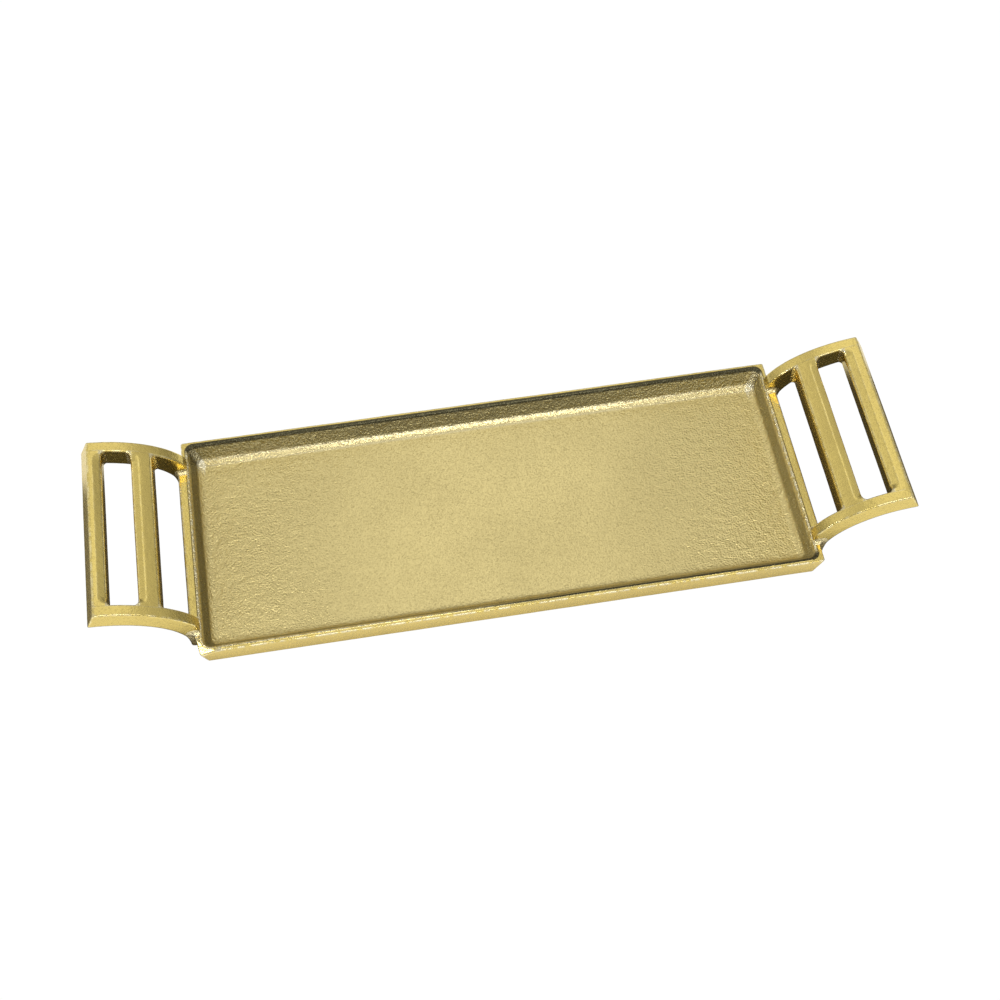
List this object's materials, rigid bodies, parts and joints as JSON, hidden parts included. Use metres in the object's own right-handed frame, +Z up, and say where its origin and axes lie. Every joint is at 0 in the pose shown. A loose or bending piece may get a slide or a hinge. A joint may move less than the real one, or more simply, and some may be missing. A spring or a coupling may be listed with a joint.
{
  "type": "serving tray",
  "caption": "Shallow rectangular cast brass serving tray with drafted walls and an arched ladder handle, made of rails and cross bars, brazed to each end.",
  "frame": {"origin": "centre of the base, on the surface that the tray stands on", "axes": "+X along the tray from handle to handle, +Y across it, +Z up"},
  "size_m": [0.45, 0.14, 0.0435],
  "materials": {
    "cast_brass": "sand-cast brass, fine grain left on the floor and walls, rim and outside dressed smooth",
    "dressed_brass": "cast brass, filed and satin polished by hand, some grain and pits left",
    "braze_brass": "brazing brass, dressed and bright"
  },
  "bodies": {
    "root": {"tray_pan": "cast_brass", "left_back_rail": "dressed_brass", "left_front_rail": "dressed_brass", "left_middle_bar": "dressed_brass", "left_grip_bar": "dressed_brass", "left_back_root_braze": "braze_brass", "left_front_root_braze": "braze_brass", "left_middle_braze": "braze_brass", "left_grip_braze": "braze_brass", "right_back_rail": "dressed_brass", "right_front_rail": "dressed_brass", "right_middle_bar": "dressed_brass", "right_grip_bar": "dressed_brass", "right_back_root_braze": "braze_brass", "right_front_root_braze": "braze_brass", "right_middle_braze": "braze_brass", "right_grip_braze": "braze_brass"}
  },
  "joints": []
}
